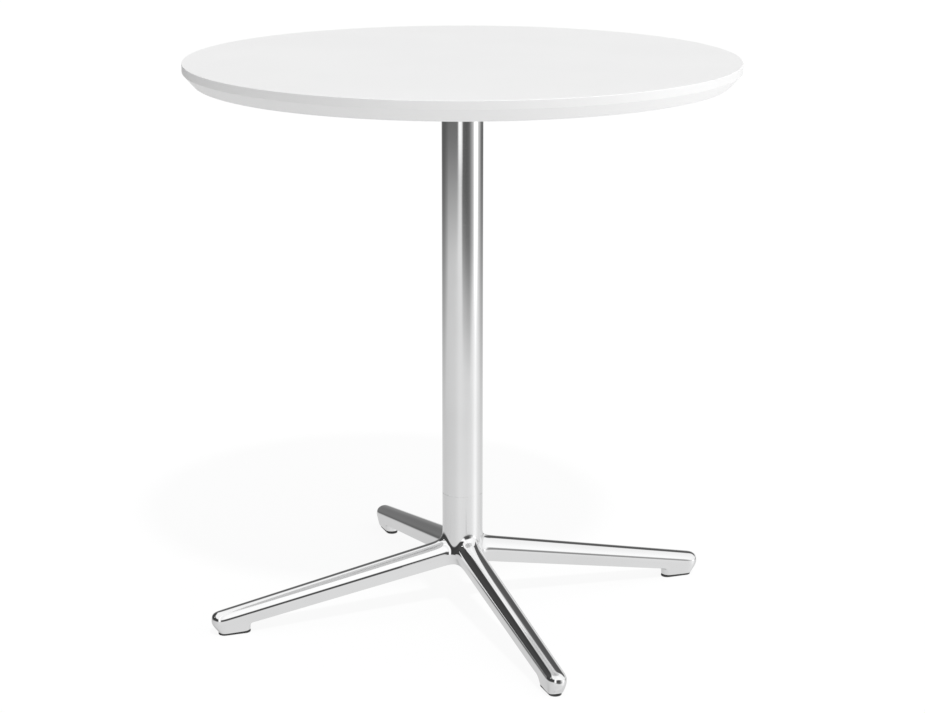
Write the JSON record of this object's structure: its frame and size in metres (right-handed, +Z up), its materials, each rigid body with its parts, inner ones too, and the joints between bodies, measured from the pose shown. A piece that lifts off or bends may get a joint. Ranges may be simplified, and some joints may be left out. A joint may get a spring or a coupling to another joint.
{
  "type": "bistro table",
  "caption": "Round bistro table: white bevel-edged top on a bright tubular column and a polished cast base of four slim arms with glides.",
  "frame": {"origin": "on the floor, under the column's centre line, between the feet", "axes": "+Z up through the column to the table top; the base's arms lie along X and Y"},
  "size_m": [0.7, 0.7, 0.726],
  "materials": {
    "white_edge": "fibreboard core with a smooth satin white lacquer on its bevelled edge",
    "white_face": "white high-pressure laminate, fine satin texture",
    "cast_metal": "as cast, lightly blasted",
    "zinc_steel": "zinc plated",
    "brass_insert": "machined",
    "bright_tube": "bright chromed, faint polishing marks",
    "polished_casting": "mirror polished on the outside, as cast in the channels underneath",
    "black_glide": "moulded black nylon, finely textured"
  },
  "bodies": {
    "root": {"top_core": "white_edge", "top_laminate": "white_face", "top_backing": "white_face", "top_spider": "cast_metal", "top_screw_1": "zinc_steel", "top_screw_2": "zinc_steel", "top_screw_3": "zinc_steel", "top_screw_4": "zinc_steel", "top_washer_1": "zinc_steel", "top_washer_2": "zinc_steel", "top_washer_3": "zinc_steel", "top_washer_4": "zinc_steel", "threaded_insert_1": "brass_insert", "threaded_insert_2": "brass_insert", "threaded_insert_3": "brass_insert", "threaded_insert_4": "brass_insert", "column_tube": "bright_tube", "tie_rod": "zinc_steel", "rod_upper_nut": "zinc_steel", "rod_washer": "zinc_steel", "rod_spring_washer": "zinc_steel", "rod_lower_nut": "zinc_steel", "base_casting": "polished_casting", "foot_glide_1": "black_glide", "foot_glide_2": "black_glide", "foot_glide_3": "black_glide", "foot_glide_4": "black_glide", "glide_screw_1": "zinc_steel", "glide_screw_2": "zinc_steel", "glide_screw_3": "zinc_steel", "glide_screw_4": "zinc_steel"}
  },
  "joints": []
}
